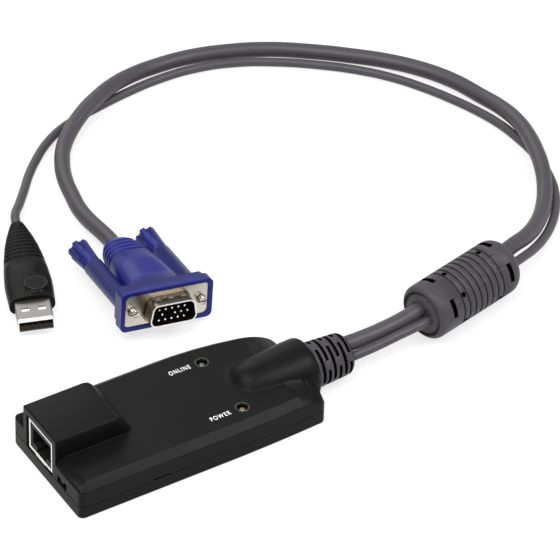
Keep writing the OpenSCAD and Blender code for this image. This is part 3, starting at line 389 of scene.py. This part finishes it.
dress("online_led", lens("green_lens", (0.035, 0.06, 0.035)))
dress("power_led", lens("amber_lens", (0.1, 0.065, 0.012)))
dress("led_spacers", socket_black)

# Slide switch: a folded steel case with a black nylon slider, which shows in the slot of the end wall.
# It is soldered to the board beside the socket.
dress("switch_case", socket_tin)
dress("switch_slider", moulded("slider_black", (0.012, 0.012, 0.012), 0.5))

# Cord end inside: white nylon header, bare cores with their coloured insulation, and two white ties
# that hold the cords behind the wall.
nylon_white = moulded("nylon_white", (0.7, 0.68, 0.62), 0.5)
dress("cord_header", nylon_white)
dress("cord_ties", nylon_white)
dress("core_wires", moulded("wire_red", (0.35, 0.08, 0.05), 0.5))

# Upper cover: the visible black shell with the hump over the socket and the cord's boss.
# One ABS moulding; its outer edges are broken by a small radius.
cover = copied("top_cover", "upper_shell", "adapter", [housing_black, seam_painted_shade])
flattened(cover)
deck_z = 0.013
hump_top = 0.0208
hump_middle_y = 0.0045
hump_half_w = 0.0104
hump_sides = (hump_middle_y - hump_half_w, hump_middle_y + hump_half_w)
hump_foot_x = -0.0195
hump_back_x = -0.0242
rear_round_r = 0.0022
rear_round_steps = 7
hump_edge_r = 0.0007
hump_edge_steps = 5
skin = 0.0004


def beside_hump(end):
    """A corner on one of the hump's two side walls."""
    return min(abs(end.y - side) for side in hump_sides) < skin


def behind_hump(middle, ends, first, second):
    """The edges round the hump's rear slope, which are well rounded."""
    in_slope = all(end.z > deck_z - skin and hump_back_x - skin < end.x < hump_foot_x + skin for end in ends)
    on_ridge = min(end.z for end in ends) > hump_top - skin
    return in_slope and middle.z > deck_z + skin and (on_ridge or all(beside_hump(end) for end in ends))


def on_hump(middle, ends, first, second):
    """The hump's own outer edges, above the deck."""
    return (all(end.z > deck_z + skin and end.x < hump_back_x + skin
                and (end.z > hump_top - skin or beside_hump(end)) for end in ends)
            and middle.x < hump_back_x - skin)


rounded(cover, behind_hump, rear_round_r, rear_round_steps)
rounded(cover, on_hump, hump_edge_r, hump_edge_steps)
seamed(cover)
smoothed(cover, covers_smooth)

# Lamp wells: the moulded ring round each lamp hole, part of the upper cover.
# The tool is polished there, so the ring's slope shines more than the deck; its colour is a painted
# highlight, paler than the deck's black.
well_r = 0.00245
ring_r = 0.0003
ring_flatness = 0.5
ring_lift = 0.00002
well_gloss_painted_highlight = moulded("well_gloss_painted_highlight", (0.012, 0.011, 0.012), 0.25, shine=0.5)
for node, name in (("online_led", "online_well"), ("power_led", "power_well")):
    low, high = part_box(node)
    centre = Vector(((low[0] + high[0]) / 2, (low[1] + high[1]) / 2, deck_z + ring_lift))
    bpy.ops.object.select_all(action="DESELECT")
    bpy.ops.mesh.primitive_torus_add(major_radius=well_r - ring_r, minor_radius=ring_r, major_segments=48,
                                     minor_segments=12, location=(0.0, 0.0, 0.0))
    ring = bpy.context.object
    ring.name = name
    bpy.ops.transform.resize(value=(1.0, 1.0, ring_flatness))
    bpy.ops.object.transform_apply(location=False, rotation=False, scale=True)
    ring.data.transform(Matrix.Translation(centre))
    smoothed(ring, 60)
    ring.data.materials.append(well_gloss_painted_highlight)
    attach(ring, "adapter")

# Lamp words: pad-printed white ink beside each lamp, a film thinner than a hair on the flat deck.
# The letters are wide capitals.
ink_white = moulded("ink_white", (0.85, 0.85, 0.85), 0.5, relief=0.0, spread=0.03)
letter_h = 0.0019
letter_spread = 1.3
raw_depth = 0.008
ink_t = 0.00004
words = (("online_led", "ONLINE", 0.0078, (-0.0083, 0.0002)),
         ("power_led", "POWER", 0.0074, (-0.0084, -0.0003)))
for node, word, length, shift in words:
    low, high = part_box(node)
    bpy.ops.object.select_all(action="DESELECT")
    bpy.ops.object.text_add(location=(0.0, 0.0, 0.0))
    text = bpy.context.object
    text.data.body = word
    text.data.align_x = "CENTER"
    text.data.align_y = "CENTER"
    text.data.extrude = raw_depth
    text.data.space_character = letter_spread
    bpy.ops.object.convert(target="MESH")
    text = bpy.context.object
    text.name = word.lower() + "_word"
    wide, tall = text.dimensions[0], text.dimensions[1]
    text.data.transform(Matrix.Diagonal((length / wide, letter_h / tall, ink_t / text.dimensions[2], 1.0)))
    word_x = (low[0] + high[0]) / 2 + shift[0]
    word_y = (low[1] + high[1]) / 2 + shift[1]
    text.data.transform(Matrix.Translation((word_x, word_y, deck_z + ink_t / 2)))
    text.data.materials.clear()
    text.data.materials.append(ink_white)
    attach(text, "adapter")

# Housing screws: four self-tapping steel screws with black zinc plating.
# They are sunk in the underside and hold the two covers together.
dress("case_screws", steel("screw_steel", (0.16, 0.16, 0.17), 0.35))

# Strain relief: grey soft vinyl moulded over both cords, slotted in staggered rows so that it bends.
# Its collar is caught between the covers. The slots are so deep that they fall in shade, so their floors and
# walls are painted black as painted shade.
grey_vinyl = moulded("grey_vinyl", (0.042, 0.039, 0.044), 0.5, relief=0.15, spread=0.1, shine=0.25,
                     edge=0.0003)
slot_painted_shade = moulded("slot_painted_shade", (0.002, 0.002, 0.002), 0.8, relief=0.0, shine=0.02)
relief = copied("strain_relief", "relief_moulding", "adapter", [grey_vinyl, slot_painted_shade])
relief_axis = Vector((0.0, -0.0022, 0.0078))
slot_floor_from = 0.0055
slot_floor_until = 0.00665
slot_wall_until = 0.0078
slots_from_x = 0.0490
slots_until_x = 0.0625
slot_wall_facing = 0.3
for face in relief.data.polygons:
    out = face.center - relief_axis
    out.x = 0.0
    facing = abs(face.normal.dot(out.normalized()))
    in_floor = slot_floor_from < out.length < slot_floor_until
    in_wall = out.length < slot_wall_until and facing < slot_wall_facing
    if in_floor or (in_wall and slots_from_x < face.center.x < slots_until_x):
        face.material_index = 1
smoothed(relief, 40)

# Ferrite: a sintered core inside a grey vinyl sleeve, moulded over it with ring grooves, core holes
# and slits from the tool's locating pins.
dress("ferrite_core", moulded("ferrite_grey", (0.02, 0.02, 0.022), 0.5))
sleeve = copied("ferrite_sleeve", "sleeve_moulding", "adapter", [grey_vinyl, slot_painted_shade])
from_ferrite = (Matrix.Translation(ferrite_at) @ turned(ferrite_turn, "Z")).inverted()
sleeve_r = 0.0098
sleeve_skin = 0.0001
holes_until_x = 0.0150
hole_wall_facing = 0.5
# The walls of the core holes are painted black too, a painted shade for their depth.
for face in sleeve.data.polygons:
    centre = from_ferrite @ face.center
    facing = (from_ferrite.to_3x3() @ face.normal).dot(Vector((0.0, centre.y, centre.z)).normalized())
    reach = math.hypot(centre.y, centre.z)
    if abs(centre.x) < holes_until_x and reach < sleeve_r - sleeve_skin and abs(facing) < hole_wall_facing:
        face.material_index = 1
smoothed(sleeve, 40)

# Video plug's hood: blue vinyl moulded round the shell and the screw sleeves, with four rings where the
# cord comes in. The tool is polished, so it has a soft gloss.
hood_blue = moulded("hood_blue", (0.0085, 0.0105, 0.13), 0.32, relief=0.04, spread=0.1, shine=0.22,
                    edge=0.0002)
hood = copied("vga_hood", "hood_moulding", "adapter", [hood_blue])
smoothed(hood, 38)

# Video plug's shell: drawn steel with nickel plating, a D-shaped rim on a flat plate; its pins stand in
# a black insulator.
plate_nickel = steel("plate_nickel", (0.66, 0.62, 0.55), 0.3, streak=0.06)
# The D-shell's walls are painted dark brown, a painted shade on the nickel.
shell_painted_shade = steel("shell_painted_shade", (0.24, 0.205, 0.16), 0.26, streak=0.15)
# The D-shell's forward lip is painted near-white, a painted highlight on its edge.
lip_painted_highlight = moulded("lip_painted_highlight", (0.8, 0.78, 0.74), 0.3, relief=0.0, spread=0.04, shine=0.6)
shell = copied("vga_shell", "drawn_shell", "adapter", [plate_nickel, shell_painted_shade, lip_painted_highlight])
dimple_places = (-0.0046, 0.0, 0.0046)
dimple_y = -0.0030
dimple_size = (0.0026, 0.0017, 0.0005)
shell_top = 0.0041
for dimple_x in dimple_places:
    bpy.ops.object.select_all(action="DESELECT")
    bpy.ops.mesh.primitive_uv_sphere_add(segments=24, ring_count=16, radius=0.5, location=(0.0, 0.0, 0.0))
    punch = bpy.context.object
    punch.data.transform(in_vga_plug @ Matrix.Translation((dimple_x, dimple_y, shell_top))
                         @ Matrix.Diagonal(dimple_size + (1.0,)))
    cut = shell.modifiers.new("dimple", "BOOLEAN")
    cut.operation = "DIFFERENCE"
    cut.solver = "EXACT"
    cut.object = punch
    chosen(shell)
    bpy.ops.object.modifier_apply(modifier="dimple")
    bpy.data.objects.remove(punch)
from_vga = in_vga_plug.inverted()
plate_y = -0.0001
shell_reach = 0.0075
lip_y = -0.0055
front_facing = 0.9
square_on = 0.99
for face in shell.data.polygons:
    centre = from_vga @ face.center
    normal = from_vga.to_3x3() @ face.normal
    if centre.y < plate_y and math.hypot(centre.x / 2, centre.z) < shell_reach:
        face.material_index = 2 if normal.y < -front_facing and centre.y < lip_y else 1
smoothed(shell, 25)
for face in shell.data.polygons:
    if abs((from_vga.to_3x3() @ face.normal).y) > square_on:
        face.use_smooth = False
dress("vga_insulator", moulded("pin_block_black", (0.006, 0.006, 0.006), 0.6, shine=0.2))
pin_tip_y = -0.0053
pin_silver = steel("pin_silver", (0.92, 0.9, 0.88), 0.3)
pin_shade = steel("pin_shade", (0.03, 0.028, 0.025), 0.4)
pins = copied("vga_pins", "turned_pins", "adapter", [pin_shade, pin_silver])


def split_at(piece, place_y):
    """The part of a piece that lies nearer the plug's mouth than a place takes its second material."""
    for face in piece.data.polygons:
        face.material_index = 1 if (from_vga @ face.center).y < place_y else 0


split_at(pins, pin_tip_y)
smoothed(pins, 40)
for node in ("left_clip", "right_clip"):
    dress(node, plate_nickel)

# Thumbscrews: turned steel shafts with nickel plating, slotted at the tip, each with a blue fluted knob
# moulded on its tail. They slide and turn in the hood's sleeves.
shaft_nickel = steel("shaft_nickel", (0.6, 0.56, 0.49), 0.25)
knob_front_y = 0.0308
for side in ("left", "right"):
    screw = copied(side + "_thumbscrew", side + "_turned_screw", side + "_screw",
                   [hood_blue, shaft_nickel])
    split_at(screw, knob_front_y)
    smoothed(screw, 35)

# Data plug's boot: black vinyl, moulded over the plug and the cord's end to a flat oval that narrows
# to the cord, with curved grip grooves and a thumb rest.
boot_black = moulded("boot_black", (0.0036, 0.0034, 0.0033), 0.36, relief=0.06, shine=0.09)
boot = copied("usb_boot", "boot_moulding", "adapter", [boot_black])
flattened(boot)
smoothed(boot, 18)

# Thumb rest: a raised oval bead on the boot's upper face, moulded with it, that the thumb finds when the
# plug is pulled out.
thumb_at = Vector((0.0022, 0.0062, 0.00430))
thumb_l = 0.0066
thumb_w = 0.0072
bead_r = 0.0003
bead_flatness = 0.8
bpy.ops.object.select_all(action="DESELECT")
bpy.ops.mesh.primitive_torus_add(major_radius=thumb_l / 2, minor_radius=bead_r, major_segments=64,
                                 minor_segments=10, location=(0.0, 0.0, 0.0))
bead = bpy.context.object
bead.name = "thumb_bead"
bead.data.transform(in_usb_plug @ Matrix.Translation(thumb_at)
                    @ Matrix.Diagonal((thumb_w / thumb_l, 1.0, bead_flatness, 1.0)))
smoothed(bead, 60)
# The bead's colour is a painted highlight, paler than the boot's black on the oval's outline.
bead.data.materials.append(moulded("bead_painted_highlight", (0.007, 0.0065, 0.0065), 0.3, relief=0.0, shine=0.25))
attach(bead, "adapter")

# Data plug's shell: folded sheet steel with four latch windows, pressed into the boot's front.
# It goes round a black tongue with four gold-plated contacts.
plug_steel = steel("plug_steel", (0.25, 0.235, 0.225), 0.38)
usb_axis = (in_usb_plug.to_3x3() @ Vector((0.0, 1.0, 0.0))).normalized()
mouth_y = -0.0107
highlight_band_l = 0.0013
highlight_band_fade = 1.25


def painted_highlight_band(material, axis, start, stop, colour):
    """A pale band across a piece, a painted highlight where its folded front edge turns the light."""
    tree, shader = nodes_of(material)
    place = tree.nodes.new("ShaderNodeTexCoord")
    along = tree.nodes.new("ShaderNodeVectorMath")
    along.operation = "DOT_PRODUCT"
    along.inputs[1].default_value = axis
    tree.links.new(place.outputs["Object"], along.inputs[0])
    band = tree.nodes.new("ShaderNodeMapRange")
    band.inputs["From Min"].default_value = start
    band.inputs["From Max"].default_value = stop
    band.inputs["To Min"].default_value = 1.0
    band.inputs["To Max"].default_value = 0.0
    tree.links.new(along.outputs["Value"], band.inputs["Value"])
    blend = tree.nodes.new("ShaderNodeMix")
    blend.data_type = "RGBA"
    old = shader.inputs["Base Color"].links[0].from_socket
    tree.links.new(band.outputs["Result"], blend.inputs[0])
    tree.links.new(old, blend.inputs[6])
    blend.inputs[7].default_value = colour + (1.0,)
    tree.links.new(blend.outputs[2], shader.inputs["Base Color"])


# The shell's front edge gets a pale band of painted highlight in its base colour.
mouth_at = in_usb_plug.to_translation().dot(usb_axis) + mouth_y
painted_highlight_band(plug_steel, usb_axis, mouth_at + highlight_band_l, mouth_at + highlight_band_l * highlight_band_fade, (0.9, 0.89, 0.86))
dress("usb_shell", plug_steel)
dress("usb_tongue", moulded("tongue_black", (0.012, 0.009, 0.006), 0.5, shine=0.2))
dress("usb_contacts", steel("contact_brown", (0.2, 0.13, 0.04), 0.4))

# Shell lining: the strip of white moulding that backs the two latch windows from inside.
# It is part of the plug's inner block and shows only through the windows.
lining_at = Vector((0.0, -0.0045, 0.00178))
lining_size = (0.0108, 0.0013, 0.0002)
bpy.ops.object.select_all(action="DESELECT")
bpy.ops.mesh.primitive_cube_add(size=1.0, location=(0.0, 0.0, 0.0))
lining = bpy.context.object
lining.name = "shell_lining"
lining.data.transform(in_usb_plug @ Matrix.Translation(lining_at) @ Matrix.Diagonal(lining_size + (1.0,)))
lining.data.materials.append(moulded("lining_white", (0.9, 0.9, 0.9), 0.5, relief=0.0, spread=0.02))
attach(lining, "adapter")

# Table: a plain white sheet, with the soft shadow of what lies on it.
# It glows a little for the camera and in reflections, so that it looks white without more light.
table_w = 6.0
table_glow = 0.72
bpy.ops.mesh.primitive_plane_add(size=table_w, location=(0.07, 0.05, -0.0001))
table = bpy.context.object
table.name = "table"
white = bpy.data.materials.new("white_sheet")
tree, shader = nodes_of(white)
shader.inputs["Base Color"].default_value = (0.85, 0.85, 0.85, 1.0)
shader.inputs["Roughness"].default_value = 0.9
shader.inputs["Specular IOR Level"].default_value = 0.1
glow = tree.nodes.new("ShaderNodeEmission")
glow.inputs["Strength"].default_value = 1.0
rays = tree.nodes.new("ShaderNodeLightPath")
seen = tree.nodes.new("ShaderNodeMath")
seen.operation = "MAXIMUM"
tree.links.new(rays.outputs["Is Camera Ray"], seen.inputs[0])
tree.links.new(rays.outputs["Is Glossy Ray"], seen.inputs[1])
share = tree.nodes.new("ShaderNodeMath")
share.operation = "MULTIPLY"
share.inputs[1].default_value = table_glow
tree.links.new(seen.outputs[0], share.inputs[0])
blend = tree.nodes.new("ShaderNodeMixShader")
tree.links.new(share.outputs[0], blend.inputs[0])
tree.links.new(shader.outputs[0], blend.inputs[1])
tree.links.new(glow.outputs[0], blend.inputs[2])
tree.links.new(blend.outputs[0], tree.nodes["Material Output"].inputs["Surface"])
table.data.materials.append(white)

# Light: one broad soft lamp over the left, a weaker one from the right and one from behind.
# A pale room round them fills the shadows.
lamps = (("key", (-0.35, -0.1, 0.9), 0.7, 9.0),
         ("fill", (0.42, -0.40, 0.72), 0.4, 5.0),
         ("rim", (0.1, 1.0, 0.7), 0.8, 4.0))
lamps_aim = Vector((0.05, 0.05, 0.0))
for name, place, size, power in lamps:
    bpy.ops.object.light_add(type="AREA", location=place)
    lamp = bpy.context.object
    lamp.name = name
    lamp.data.size = size
    lamp.data.energy = power
    aim = (lamps_aim - lamp.location).to_track_quat("-Z", "Y")
    lamp.rotation_euler = aim.to_euler()
world = bpy.data.worlds.new("room")
scene.world = world
world.use_nodes = True
world.node_tree.nodes["Background"].inputs["Color"].default_value = (1.0, 1.0, 1.0, 1.0)
world.node_tree.nodes["Background"].inputs["Strength"].default_value = 0.55
scene.view_settings.view_transform = "Standard"
